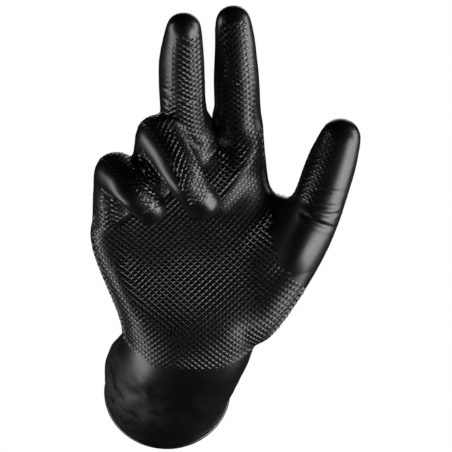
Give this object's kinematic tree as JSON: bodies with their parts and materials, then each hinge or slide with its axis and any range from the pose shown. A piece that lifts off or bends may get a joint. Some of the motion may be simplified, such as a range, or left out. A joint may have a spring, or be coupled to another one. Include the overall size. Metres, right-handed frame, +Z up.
{
  "type": "disposable nitrile grip glove",
  "caption": "Black dipped nitrile work glove with a raised diamond grip, rolled cuff bead and hand-shaped stalls, in the form it has when worn.",
  "frame": {"origin": "centre of the wrist, in the middle of the hollow where the hand goes in", "axes": "+Z up the hand from the wrist towards the fingertips, +X towards the thumb, -Y out of the palm"},
  "size_m": [0.1216, 0.1473, 0.2021],
  "materials": {
    "nitrile_film": "black satin nitrile with a raised diamond grip"
  },
  "bodies": {
    "root": {"glove_film": "nitrile_film"}
  },
  "joints": []
}
